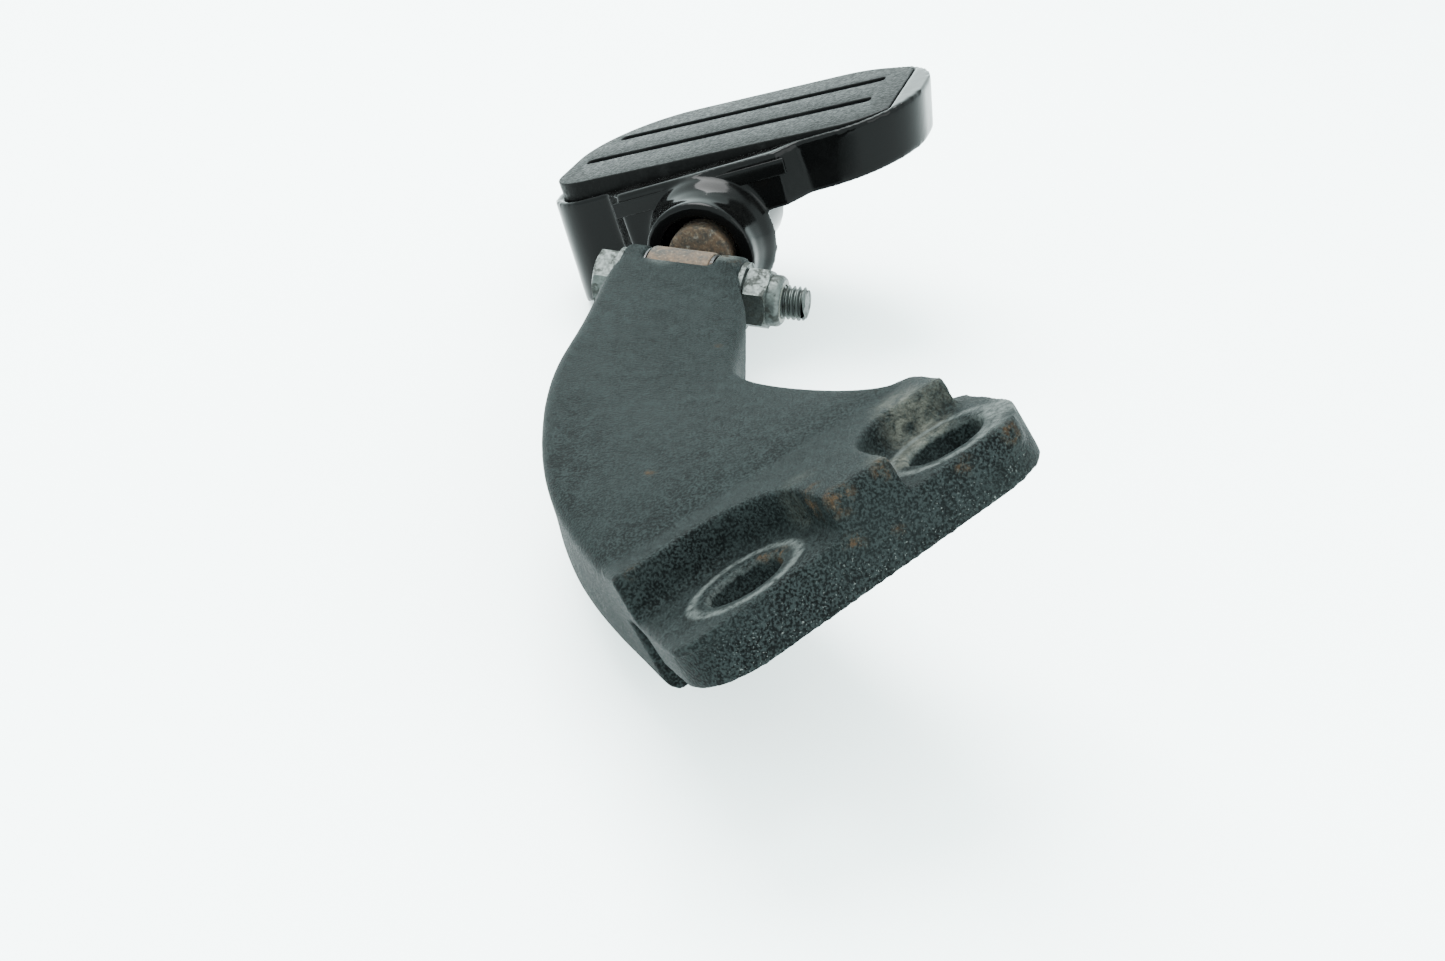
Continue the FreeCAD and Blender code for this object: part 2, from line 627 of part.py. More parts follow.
def makeTangFasteners():
    web = dim("webBack")
    seat = web + dim("lockWasherThick")
    washer = ring("tang_lock_washer", "dims.lockWasherRadius", "dims.tangBoltHole",
                  "dims.lockWasherThick", onBoard(0, web, 0, alongY))
    head = hexagon("tangBoltHex", "dims.hexFlats", "dims.headHeight", onBoard(0, seat, 0, alongY))
    shank = cylinder("tangBoltShank", "dims.boltRadius", "dims.tangBoltLength",
                     onBoard(0, seat - dim("tangBoltLength"), 0, alongY))
    bolt = fuse("tang_bolt", [head, shank])
    grub = cylinder("hub_grub_screw", "dims.grubRadius", "dims.grubLength",
                    onBoard(0, dim("grubPlace"), -dim("hubBore") - dim("grubLength")))
    return [washer, bolt, grub]


pieces = [makeBracket()]
pieces += makePivotHardware()
pieces += makeSlotWashers()
pieces += makeTang()
pieces.append(makeBoard())
pieces += makePad()
pieces += makePadScrews()
pieces += makeTangFasteners()
doc.recompute()

for item in doc.Objects:
    assert "Invalid" not in item.State and "Error" not in item.State, item.Label
for piece in pieces:
    assert not piece.Shape.isNull() and piece.Shape.isValid(), piece.Label

os.makedirs("parts", exist_ok=True)
for piece in pieces:
    piece.Shape.exportStep("parts/%s.step" % piece.Label)
    box = piece.Shape.BoundBox
    print("%-18s %d solid(s) %8.2f cm3  x %.1f..%.1f  y %.1f..%.1f  z %.1f..%.1f"
          % (piece.Label, len(piece.Shape.Solids), piece.Shape.Volume / 1000,
             box.XMin, box.XMax, box.YMin, box.YMax, box.ZMin, box.ZMax))
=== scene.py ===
import math

import bpy
from mathutils import Matrix, Vector


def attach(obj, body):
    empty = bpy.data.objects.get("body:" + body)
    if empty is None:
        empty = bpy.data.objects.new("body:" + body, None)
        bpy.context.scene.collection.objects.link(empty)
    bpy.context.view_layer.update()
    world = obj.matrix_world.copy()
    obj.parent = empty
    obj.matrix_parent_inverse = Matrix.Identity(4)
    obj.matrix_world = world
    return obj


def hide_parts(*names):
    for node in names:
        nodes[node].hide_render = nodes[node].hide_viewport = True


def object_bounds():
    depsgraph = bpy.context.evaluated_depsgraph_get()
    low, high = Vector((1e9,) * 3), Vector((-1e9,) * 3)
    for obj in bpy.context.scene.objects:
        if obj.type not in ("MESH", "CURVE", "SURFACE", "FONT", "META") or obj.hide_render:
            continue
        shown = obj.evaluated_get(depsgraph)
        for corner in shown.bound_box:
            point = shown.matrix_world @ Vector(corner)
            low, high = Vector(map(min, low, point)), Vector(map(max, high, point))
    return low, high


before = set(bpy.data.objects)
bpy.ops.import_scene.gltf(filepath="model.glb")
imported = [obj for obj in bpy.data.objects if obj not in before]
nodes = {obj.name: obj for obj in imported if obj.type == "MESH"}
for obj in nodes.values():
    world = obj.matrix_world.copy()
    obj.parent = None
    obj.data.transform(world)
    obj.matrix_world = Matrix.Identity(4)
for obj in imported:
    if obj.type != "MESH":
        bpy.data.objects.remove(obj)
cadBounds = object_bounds()
mm = 0.001

# The frames that pieces are modelled in.
pivotPoint = Vector((-66.3, 119.9, -25.4)) * mm
boltFrame = Matrix.Translation(pivotPoint) @ Matrix.Rotation(math.radians(90), 4, "Y")  # Z along the pivot bolt
boardFrame = Matrix.Translation(pivotPoint + Vector((0, 0, 2)) * mm) @ Matrix.Rotation(math.radians(-18), 4, "Y")
hubFrame = boardFrame @ Matrix.Rotation(math.radians(-90), 4, "X")  # Z out along the hub
flangeFrame = Matrix(((0.650788, -0.506256, -0.565845, 0), (0.657639, 0.748310, 0.086856, 0),
                      (0.379456, -0.428646, 0.819924, 0), (0, 0, 0, 1)))  # Z out of the spot faces
toFlange = flangeFrame.inverted()


# modelling helpers

def makeActive(obj):
    bpy.ops.object.select_all(action="DESELECT")
    obj.select_set(True)
    bpy.context.view_layer.objects.active = obj


def pick(obj, kind, test):
    # Leaves the object in edit mode with the parts that pass the test selected.
    makeActive(obj)
    bpy.ops.object.mode_set(mode="EDIT")
    bpy.ops.mesh.select_mode(type=kind)
    bpy.ops.mesh.select_all(action="DESELECT")
    bpy.ops.object.mode_set(mode="OBJECT")
    parts = {"VERT": obj.data.vertices, "EDGE": obj.data.edges, "FACE": obj.data.polygons}[kind]
    for part in parts:
        part.select = bool(test(part))
    bpy.ops.object.mode_set(mode="EDIT")


def leaveEdit():
    bpy.ops.object.mode_set(mode="OBJECT")


def closeMesh(obj, gap=0.005 * mm):
    pick(obj, "VERT", lambda vert: True)
    bpy.ops.mesh.remove_doubles(threshold=gap)
    bpy.ops.mesh.normals_make_consistent(inside=False)
    leaveEdit()


def modify(obj, kind, **settings):
    makeActive(obj)
    modifier = obj.modifiers.new(kind.lower(), kind)
    for name, value in settings.items():
        setattr(modifier, name, value)
    bpy.ops.object.modifier_apply(modifier=modifier.name)


def combine(obj, tool, operation):
    modify(obj, "BOOLEAN", object=tool, operation=operation, solver="EXACT")
    bpy.data.objects.remove(tool)


def place(obj, matrix):
    makeActive(obj)
    obj.matrix_world = matrix @ obj.matrix_world
    bpy.ops.object.transform_apply(location=True, rotation=True, scale=True)
    return obj


def copyOf(obj, name):
    copy = obj.copy()
    copy.data = obj.data.copy()
    copy.name = name
    copy.parent = None
    copy.matrix_world = Matrix.Identity(4)
    for key in list(copy.keys()):
        del copy[key]
    bpy.context.scene.collection.objects.link(copy)
    return copy


def copyOfNode(nodeName, name):
    copy = copyOf(nodes[nodeName], name)
    closeMesh(copy)
    return copy


def flatten(obj, degrees=1.5):
    # Turns the triangles of each flat face back into one face.
    pick(obj, "VERT", lambda vert: True)
    bpy.ops.mesh.dissolve_limited(angle_limit=math.radians(degrees), delimit={"NORMAL"})
    leaveEdit()


def drawLine(name, points):
    # A chain of edges through the points, in millimetres, in the XZ plane.
    points = [Vector((x, 0, z)) * mm for x, z in points]
    bpy.ops.object.select_all(action="DESELECT")
    bpy.ops.mesh.primitive_plane_add(size=mm)
    line = bpy.context.object
    line.name = name
    pick(line, "VERT", lambda vert: vert.index > 0)
    bpy.ops.mesh.delete(type="VERT")
    leaveEdit()
    line.data.vertices[0].co = points[0]
    pick(line, "VERT", lambda vert: True)
    for here, there in zip(points, points[1:]):
        bpy.ops.mesh.extrude_vertices_move(TRANSFORM_OT_translate={"value": there - here})
    leaveEdit()
    return line


def lathe(name, points, steps=64):
    turned = drawLine(name, points)
    pick(turned, "VERT", lambda vert: True)
    bpy.ops.mesh.spin(steps=steps, angle=2 * math.pi, center=(0, 0, 0), axis=(0, 0, 1))
    leaveEdit()
    closeMesh(turned)
    return turned


def hexBlank(name, flats, height, lowChamfer, highChamfer):
    # A hexagon across its flats, standing on the origin, with its corners turned off.
    corner = flats / math.sqrt(3)
    bpy.ops.object.select_all(action="DESELECT")
    bpy.ops.mesh.primitive_cylinder_add(vertices=6, radius=corner * mm, depth=height * mm,
                                        location=(0, 0, height / 2 * mm), rotation=(0, 0, math.radians(30)))
    blank = bpy.context.object
    blank.name = name
    place(blank, Matrix.Identity(4))
    land = flats / 2 - 0.1
    slope = math.tan(math.radians(30)) * (corner + 0.2 - land)
    turned = lathe(name + "Turned", ((0, 0), (land if lowChamfer else corner + 0.2, 0),
                                     (corner + 0.2, slope if lowChamfer else 0.01),
                                     (corner + 0.2, height - (slope if highChamfer else 0.01)),
                                     (land if highChamfer else corner + 0.2, height), (0, height)))
    combine(blank, turned, "INTERSECT")
    return blank


def threadedRod(name, radius, start, end, pitch, point):
    # One pitch of the thread is carried up a helix, cut square at both ends and pointed.
    root = radius - 0.58 * pitch
    profile = ((radius, 0), (radius, 0.12 * pitch), (root, 0.48 * pitch), (root, 0.64 * pitch), (radius, pitch))
    rod = drawLine(name, profile)
    turns = math.ceil((end - start) / pitch) + 2
    place(rod, Matrix.Translation((0, 0, (start - pitch) * mm)))
    modify(rod, "SCREW", axis="Z", angle=2 * math.pi, screw_offset=pitch * mm, steps=36, render_steps=36,
           iterations=turns, use_merge_vertices=False)
    closeMesh(rod, 0.002 * mm)
    for height, normal in ((start, -1), (end, 1)):
        pick(rod, "VERT", lambda vert: True)
        bpy.ops.mesh.bisect(plane_co=(0, 0, height * mm), plane_no=(0, 0, normal), use_fill=True, clear_outer=True)
        leaveEdit()
    closeMesh(rod, 0.002 * mm)
    tip = lathe(name + "Tip", ((0, start - 1), (radius + 1, start - 1), (radius + 1, end - point - 1),
                               (radius - point, end), (radius - point, end + 1), (0, end + 1)))
    combine(rod, tip, "INTERSECT")
    return rod


def finishPiece(obj, body, slotName, material, *replaced, angle=35):
    closeMesh(obj, 0.001 * mm)
    makeActive(obj)
    bpy.ops.object.shade_smooth_by_angle(angle=math.radians(angle))
    obj.data.materials.clear()
    obj.data.materials.append(material)
    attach(obj, body)
    if replaced:
        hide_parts(*replaced)
    print("made", obj.name, len(obj.data.polygons), "faces")


def smoothStep(value, low, high):
    share = min(max((value - low) / (high - low), 0), 1)
    return share * share * (3 - 2 * share)


def paint(obj, name, strength):
    layer = obj.data.attributes.new(name, "FLOAT", "POINT")
    layer.data.foreach_set("value", [strength(vert.co) for vert in obj.data.vertices])


def nearSpots(point, spots):
    # Spots are x, y, z and radius in millimetres, then strength.
    best = 0
    for x, y, z, radius, strength in spots:
        away = (point - Vector((x, y, z)) * mm).length
        best = max(best, strength * (1 - smoothStep(away, 0.25 * radius * mm, radius * mm)))
    return best


# node helpers

def addNode(tree, kind, sockets, **settings):
    node = tree.nodes.new("ShaderNode" + kind)
    for name, value in settings.items():
        setattr(node, name, value)
    for socket, value in sockets.items():
        if isinstance(value, bpy.types.NodeSocket):
            tree.links.new(value, node.inputs[socket])
        else:
            node.inputs[socket].default_value = value
    return node


def objectCoords(tree):
    return tree.nodes.new("ShaderNodeTexCoord").outputs["Object"]


def noiseValue(tree, scale, detail=4, roughness=0.55, distortion=0):
    return addNode(tree, "TexNoise", {"Vector": objectCoords(tree), "Scale": scale, "Detail": detail,
                                      "Roughness": roughness, "Distortion": distortion}).outputs[0]


def ranged(tree, value, low, high, toLow=0, toHigh=1):
    return addNode(tree, "MapRange", {0: value, 1: low, 2: high, 3: toLow, 4: toHigh},
                   interpolation_type="SMOOTHSTEP").outputs[0]


def maths(tree, operation, first, second):
    return addNode(tree, "Math", {0: first, 1: second}, operation=operation, use_clamp=False).outputs[0]


def mixed(tree, share, first, second):
    return addNode(tree, "Mix", {0: share, 6: first, 7: second}, data_type="RGBA").outputs[2]


def grey(level, tint=(1, 1, 1)):
    return (level * tint[0], level * tint[1], level * tint[2], 1)


def attributeValue(tree, name):
    return addNode(tree, "Attribute", {}, attribute_name=name).outputs["Fac"]


def newGroup(name, inputs, outputs):
    tree = bpy.data.node_groups.new(name, "ShaderNodeTree")
    for label, kind, value in inputs:
        tree.interface.new_socket(label, in_out="INPUT", socket_type="NodeSocket" + kind).default_value = value
    for label, kind in outputs:
        tree.interface.new_socket(label, in_out="OUTPUT", socket_type="NodeSocket" + kind)
    return tree, tree.nodes.new("NodeGroupInput").outputs, tree.nodes.new("NodeGroupOutput").inputs


def useGroup(tree, group, **sockets):
    return addNode(tree, "Group", sockets, node_tree=group).outputs


# shared effects

def makeGrain():
    # Fine and broad unevenness of a surface.
    tree, source, sink = newGroup("grain", (("Scale", "Float", 900), ("Depth", "Float", 0.3)),
                                  (("Normal", "Vector"), ("Value", "Float")))
    fine = noiseValue(tree, source["Scale"], 3)
    broad = noiseValue(tree, maths(tree, "MULTIPLY", source["Scale"], 0.15), 3)
    height = maths(tree, "ADD", maths(tree, "MULTIPLY", fine, 0.8), maths(tree, "MULTIPLY", broad, 0.2))
    bump = addNode(tree, "Bump", {"Strength": source["Depth"], "Distance": 0.4 * mm, "Height": height})
    tree.links.new(bump.outputs[0], sink["Normal"])
    tree.links.new(height, sink["Value"])
    return tree


def makePatches():
    # Irregular patches: the amount is the share of the surface they cover, roughly.
    tree, source, sink = newGroup("patches", (("Scale", "Float", 120), ("Amount", "Float", 0.3)),
                                  (("Mask", "Float"),))
    broad = noiseValue(tree, source["Scale"], 6, 0.65, 0.4)
    edge = maths(tree, "SUBTRACT", 0.75, maths(tree, "MULTIPLY", source["Amount"], 0.5))
    mask = addNode(tree, "MapRange", {0: broad, 1: edge, 2: maths(tree, "ADD", edge, 0.09)},
                   interpolation_type="SMOOTHSTEP").outputs[0]
    tree.links.new(mask, sink["Mask"])
    return tree


def makeRust():
    tree, source, sink = newGroup("rustColour", (("Scale", "Float", 260),), (("Color", "Color"), ("Value", "Float")))
    broad = noiseValue(tree, source["Scale"], 6, 0.7)
    fine = noiseValue(tree, maths(tree, "MULTIPLY", source["Scale"], 5), 3)
    brown = mixed(tree, ranged(tree, broad, 0.38, 0.62), (0.009, 0.007, 0.005, 1), (0.032, 0.018, 0.009, 1))
    tan = mixed(tree, ranged(tree, fine, 0.5, 0.75, 0, 0.6), brown, (0.075, 0.056, 0.036, 1))
    tree.links.new(tan, sink["Color"])
    tree.links.new(fine, sink["Value"])
    return tree


def makeDust():
    # Settles on what faces up.
    tree, source, sink = newGroup("dust", (("Amount", "Float", 0.3),), (("Mask", "Float"),))
    facing = addNode(tree, "SeparateXYZ", {0: tree.nodes.new("ShaderNodeNewGeometry").outputs["Normal"]}).outputs[2]
    speckle = ranged(tree, noiseValue(tree, 700, 5, 0.7), 0.42, 0.72)
    upward = ranged(tree, facing, 0.1, 0.95)
    tree.links.new(maths(tree, "MULTIPLY", maths(tree, "MULTIPLY", upward, speckle), source["Amount"]), sink["Mask"])
    return tree


def makeEdgeWear():
    # Light on outer edges, from the shape of a finely meshed surface.
    tree, source, sink = newGroup("edgeWear", (("Amount", "Float", 0.5),), (("Mask", "Float"),))
    pointed = tree.nodes.new("ShaderNodeNewGeometry").outputs["Pointiness"]
    edge = ranged(tree, pointed, 0.52, 0.58)
    broken = ranged(tree, noiseValue(tree, 420, 5, 0.7), 0.4, 0.6)
    tree.links.new(maths(tree, "MULTIPLY", maths(tree, "MULTIPLY", edge, broken), source["Amount"]), sink["Mask"])
    return tree


grain = makeGrain()
patches = makePatches()
rustColour = makeRust()
dust = makeDust()
edgeWear = makeEdgeWear()


def newMaterial(name, metallic=0.0, specular=0.5, ior=1.45):
    material = bpy.data.materials.new(name)
    material.use_nodes = True
    tree = material.node_tree
    shader = tree.nodes["Principled BSDF"]
    shader.inputs["Metallic"].default_value = metallic
    shader.inputs["Specular IOR Level"].default_value = specular
    shader.inputs["IOR"].default_value = ior
    return material, tree, shader


def wire(tree, shader, **sockets):
    for name, value in sockets.items():
        tree.links.new(value, shader.inputs[name])


def makePowderCoat(look):
    material, tree, shader = newMaterial("powderCoat", ior=look["ior"])
    texture = useGroup(tree, grain, Scale=look["grainScale"], Depth=look["grainDepth"])
    coat = mixed(tree, ranged(tree, texture["Value"], 0.41, 0.61), grey(look["dark"], look["tint"]),
                 grey(look["light"], look["tint"]))
    cloud = ranged(tree, noiseValue(tree, 60, 4, 0.6), 0.35, 0.65, 0, look["cloud"])
    coat = mixed(tree, cloud, coat, grey(look["faded"], look["tint"]))
    coat = mixed(tree, useGroup(tree, dust, Amount=look["dust"])["Mask"], coat, look["dustColour"])
    coat = mixed(tree, useGroup(tree, edgeWear, Amount=look["edges"])["Mask"], coat, grey(look["worn"]))
    chips = maths(tree, "MULTIPLY", ranged(tree, noiseValue(tree, 2600, 2, 0.5), 0.64, 0.72), attributeValue(tree, "chips"))
    coat = mixed(tree, chips, coat, look["chipColour"])
    speckle = ranged(tree, noiseValue(tree, 380, 8, 0.8, 0.6), 0.34, 0.7)
    dirt = maths(tree, "MULTIPLY", attributeValue(tree, "dirt"), speckle)
    coat = mixed(tree, dirt, coat, look["dirtColour"])
    worn = maths(tree, "MULTIPLY", attributeValue(tree, "wear"), ranged(tree, noiseValue(tree, 800, 5, 0.7), 0.3, 0.6))
    coat = mixed(tree, worn, coat, look["wearColour"])
    rusted = maths(tree, "MULTIPLY", attributeValue(tree, "rust"), ranged(tree, noiseValue(tree, 620, 6, 0.7), 0.42, 0.66, 0, 0.85))
    coat = mixed(tree, rusted, coat, useGroup(tree, rustColour, Scale=420)["Color"])
    rough = ranged(tree, texture["Value"], 0.3, 0.7, look["smoothest"], look["roughest"])
    rough = maths(tree, "ADD", rough, maths(tree, "MULTIPLY", rusted, 0.3))
    wire(tree, shader, **{"Base Color": coat, "Roughness": rough, "Normal": texture["Normal"]})
    return material


def makeMetal(name, colour, stain, stainAmount, smoothest, roughest, depth=0.15, metallic=1.0):
    material, tree, shader = newMaterial(name, metallic)
    texture = useGroup(tree, grain, Scale=1400, Depth=depth)
    spots = useGroup(tree, patches, Scale=330, Amount=stainAmount)["Mask"]
    base = mixed(tree, ranged(tree, texture["Value"], 0.35, 0.65, 0, 0.35), colour, stain)
    base = mixed(tree, maths(tree, "MULTIPLY", spots, 0.75), base, stain)
    rough = maths(tree, "ADD", ranged(tree, texture["Value"], 0.3, 0.7, smoothest, roughest),
                  maths(tree, "MULTIPLY", spots, 0.2))
    wire(tree, shader, **{"Base Color": base, "Roughness": rough, "Normal": texture["Normal"]})
    return material


def makeRustySteel():
    material, tree, shader = newMaterial("rustySteel", 0.0, 0.35)
    texture = useGroup(tree, grain, Scale=700, Depth=0.7)
    rust = useGroup(tree, rustColour, Scale=330)["Color"]
    bare = useGroup(tree, patches, Scale=150, Amount=0.35)["Mask"]
    base = mixed(tree, maths(tree, "MULTIPLY", bare, 0.8), rust, (0.08, 0.075, 0.066, 1))
    rough = maths(tree, "SUBTRACT", 0.85, maths(tree, "MULTIPLY", bare, 0.35))
    wire(tree, shader, **{"Base Color": base, "Roughness": rough, "Normal": texture["Normal"]})
    return material


def makeGlossPaint(look):
    material, tree, shader = newMaterial("glossPaint", ior=look["ior"])
    peel = noiseValue(tree, 260, 2, 0.4)
    bump = addNode(tree, "Bump", {"Strength": 0.06, "Distance": 0.3 * mm, "Height": peel}).outputs[0]
    settled = useGroup(tree, dust, Amount=look["dust"])["Mask"]
    smudge = ranged(tree, noiseValue(tree, 70, 5, 0.65), 0.4, 0.65)
    nick = useGroup(tree, patches, Scale=900, Amount=0.1)["Mask"]
    base = mixed(tree, settled, grey(look["base"]), look["dustColour"])
    base = mixed(tree, maths(tree, "MULTIPLY", nick, 0.5), base, grey(0.015))
    rough = maths(tree, "ADD", ranged(tree, smudge, 0, 1, look["smoothest"], look["roughest"]),
                  maths(tree, "MULTIPLY", settled, 0.5))
    wire(tree, shader, **{"Base Color": base, "Roughness": rough, "Normal": bump})
    return material


def makeRubber(look):
    material, tree, shader = newMaterial("rubber", ior=look["ior"])
    texture = useGroup(tree, grain, Scale=1100, Depth=look["depth"])
    scuff = useGroup(tree, patches, Scale=90, Amount=0.4)["Mask"]
    base = mixed(tree, maths(tree, "MULTIPLY", scuff, 0.5), grey(look["base"]), grey(look["scuffed"]))
    base = mixed(tree, useGroup(tree, dust, Amount=look["dust"])["Mask"], base, look["dustColour"])
    rough = ranged(tree, texture["Value"], 0.3, 0.7, look["smoothest"], look["roughest"])
    wire(tree, shader, **{"Base Color": base, "Roughness": rough, "Normal": texture["Normal"]})
    return material


coatLook = {"ior": 1.07, "grainScale": 2300, "grainDepth": 1, "dark": 0.0012, "light": 0.0125,
            "tint": (0.78, 1.0, 0.99), "cloud": 0.3, "faded": 0.01, "dust": 0.05,
            "dustColour": (0.02, 0.022, 0.021, 1), "edges": 0.4, "worn": 0.02, "chipColour": (0.05, 0.055, 0.052, 1),
            "dirtColour": (0.06, 0.06, 0.05, 1), "wearColour": (0.045, 0.05, 0.048, 1), "smoothest": 0.42,
            "roughest": 0.68}
paintLook = {"ior": 1.13, "base": 0.001, "dust": 0.05, "dustColour": (0.02, 0.02, 0.018, 1),
             "smoothest": 0.1, "roughest": 0.24}
rubberLook = {"ior": 1.08, "depth": 0.45, "base": 0.002, "scuffed": 0.005, "dust": 0.06,
              "dustColour": (0.018, 0.02, 0.018, 1), "smoothest": 0.32, "roughest": 0.55}

powderCoat = makePowderCoat(coatLook)
glossPaint = makeGlossPaint(paintLook)
rubber = makeRubber(rubberLook)
rustySteel = makeRustySteel()
zinc = makeMetal("zincPlate", (0.045, 0.051, 0.049, 1), (0.02, 0.021, 0.019, 1), 0.5, 0.42, 0.62)
darkSteel = makeMetal("darkSteel", (0.028, 0.029, 0.03, 1), (0.02, 0.012, 0.008, 1), 0.4, 0.35, 0.55)
bronze = makeMetal("bronze", (0.12, 0.085, 0.04, 1), (0.045, 0.03, 0.015, 1), 0.4, 0.3, 0.5)
nylon = makeMetal("nylon", (0.07, 0.075, 0.066, 1), (0.035, 0.035, 0.03, 1), 0.3, 0.4, 0.6, metallic=0.0)
print("materials made")


# bracket

bracketPlan = {"voxel": 0.62 * mm, "softening": 13, "swell": 0.2 * mm, "swellSize": 16 * mm, "boreRadius": 6.52,
               "holeSpacing": 38, "ringInner": 8.2, "ringOuter": 10.6}
# Marks on the bracket: x, y, z and radius in millimetres, then strength. A dimple's last value is its depth.
rustSpots = ((-4.3, -5.3, 3.4, 4.2, 1), (1.2, -9.9, 7.8, 3.6, 1), (4.1, -11.4, 1.8, 2.4, 1), (6.5, -4.5, 11, 2.6, 1),
             (23.1, 7.9, 12.9, 2.6, 1), (17.3, 2, 9.6, 2, 0.8), (-31.6, -9.4, -11.8, 2, 0.8), (-38.7, 19.4, -12, 1.8, 0.7),
             (-8.4, -7.7, -5, 3.2, 1), (-11.4, -6.1, -7.2, 2.2, 0.9), (-43.5, 75.8, -15.5, 1.5, 0.6),
             (-56.5, 122.8, -16.9, 3.2, 0.9), (-52.9, 118.8, -16.5, 2, 0.6), (9.8, -7.2, 2.5, 1.6, 0.6))
dirtSpots = ((5.7, 22.3, 4.2, 8, 0.8), (2, 26.3, 5.6, 6, 0.4), (9.6, 17.4, 3.9, 6, 0.9), (9.9, 27.6, 8.6, 5, 0.5),
             (6, 11.6, 2.9, 6, 0.8), (5.2, -2.1, 11.6, 4, 0.3), (-6, 2, -1, 6, 0.3))
wearSpots = ((-56.5, 122.8, -16.9, 6, 0.7), (-69.4, 116, -16.4, 5, 0.5), (20, 17.5, 11.9, 7, 0.9), (19.5, 10, 12.4, 4, 0.5))
dimples = ((-11.1, 29.1, -1.3, 3.4, 0.7), (1.3, -10.6, 3, 2.4, 0.4))


def ringWear(point):
    # The ring that a washer left round each mounting hole.
    local = toFlange @ point / mm
    if abs(local.z) > 1.2:
        return 0
    away = math.hypot(abs(local.x) - bracketPlan["holeSpacing"] / 2, local.y)
    rise = smoothStep(away, bracketPlan["ringInner"], bracketPlan["ringOuter"] - 1.4)
    return 0.75 * rise * (1 - smoothStep(away, bracketPlan["ringOuter"] - 0.7, bracketPlan["ringOuter"])) + \
        0.4 * (1 - smoothStep(away, 6.6, 7.2))


def chipStrength(point):
    # Chips gather along the low edge of the flange's near face.
    local = toFlange @ point / mm
    return (1 - smoothStep(local.z, -9, 2)) * (1 - smoothStep(local.y, -10.5, -7)) * (1 if local.y < 0 else 0)


def makeBracket():
    bracket = copyOfNode("mount_bracket", "bracketForging")
    modify(bracket, "REMESH", mode="VOXEL", voxel_size=bracketPlan["voxel"])
    modify(bracket, "SMOOTH", factor=0.5, iterations=bracketPlan["softening"])
    body = bracket.vertex_groups.new(name="body")
    for vert in bracket.data.vertices:
        body.add([vert.index], smoothStep((vert.co - pivotPoint).length, 22 * mm, 45 * mm), "REPLACE")
    swell = bpy.data.textures.new("forgedSwell", "CLOUDS")
    swell.noise_scale = bracketPlan["swellSize"]
    modify(bracket, "DISPLACE", texture=swell, texture_coords="LOCAL", strength=bracketPlan["swell"],
           mid_level=1, vertex_group="body")
    for x, y, z, size, depth in dimples:
        spot = Vector((x, y, z)) * mm
        nearest = min(bracket.data.vertices, key=lambda vert: (vert.co - spot).length)
        inward = -nearest.normal * depth * mm
        pick(bracket, "VERT", lambda vert: vert.index == nearest.index)
        bpy.ops.transform.translate(value=inward, use_proportional_edit=True, proportional_edit_falloff="SMOOTH",
                                    proportional_size=size * mm)
        leaveEdit()
    radius = bracketPlan["boreRadius"]
    bore = lathe("boreCutter", ((0, -30), (radius, -30), (radius, -0.7), (radius + 0.7, 0.1), (radius + 0.7, 10), (0, 10)))
    for side in (-1, 1):
        cutter = place(copyOf(bore, "boreCutterCopy"),
                       flangeFrame @ Matrix.Translation((side * bracketPlan["holeSpacing"] / 2 * mm, 0, 0)))
        combine(bracket, cutter, "DIFFERENCE")
    bpy.data.objects.remove(bore)
    paint(bracket, "wear", lambda point: max(ringWear(point), nearSpots(point, wearSpots)))
    paint(bracket, "rust", lambda point: nearSpots(point, rustSpots))
    paint(bracket, "dirt", lambda point: nearSpots(point, dirtSpots) if (toFlange @ point).z > -1 * mm else 0)
    paint(bracket, "chips", chipStrength)
    finishPiece(bracket, "bracket", "black_powder_coat", powderCoat, "mount_bracket", angle=50)


makeBracket()


# pivot bolt and nut: heights are along the bolt, from the middle of the hinge

pivotPlan = {"headBottom": -20.2, "headTop": -14.9, "flats": 13, "threadRadius": 3.97, "pitch": 1.25,
             "shankEnd": 10, "boltEnd": 30.6, "nutStart": 16.2, "hexHeight": 5.8, "collarHeight": 3,
             "collarRadius": 6, "insertRadius": 5.02, "insertHeight": 2}


def boltHead(name, flats, height):
    # The dished top faces down here, and the underside stands at the full height.
    head = hexBlank(name, flats, height, True, False)
    pick(head, "FACE", lambda face: face.normal.z < -0.9 and face.center.length < 1.5 * mm)
    bpy.ops.mesh.inset(thickness=1.1 * mm)
    bpy.ops.mesh.inset(thickness=0.5 * mm, depth=-0.35 * mm)
    leaveEdit()
    return head


def makePivotBolt():
    plan = pivotPlan
    bolt = boltHead("pivotBolt", plan["flats"], plan["headTop"] - plan["headBottom"])
    place(bolt, Matrix.Translation((0, 0, plan["headBottom"] * mm)))
    shank = lathe("pivotShank", ((0, plan["headTop"] - 1), (4, plan["headTop"] - 1), (4, plan["shankEnd"]), (0, plan["shankEnd"])))
    combine(bolt, shank, "UNION")
    thread = threadedRod("pivotThread", plan["threadRadius"], plan["shankEnd"] - 1, plan["boltEnd"], plan["pitch"], 0.7)
    combine(bolt, thread, "UNION")
    place(bolt, boltFrame)
    finishPiece(bolt, "bracket", "zinc_plated_steel", zinc, "pivot_bolt")


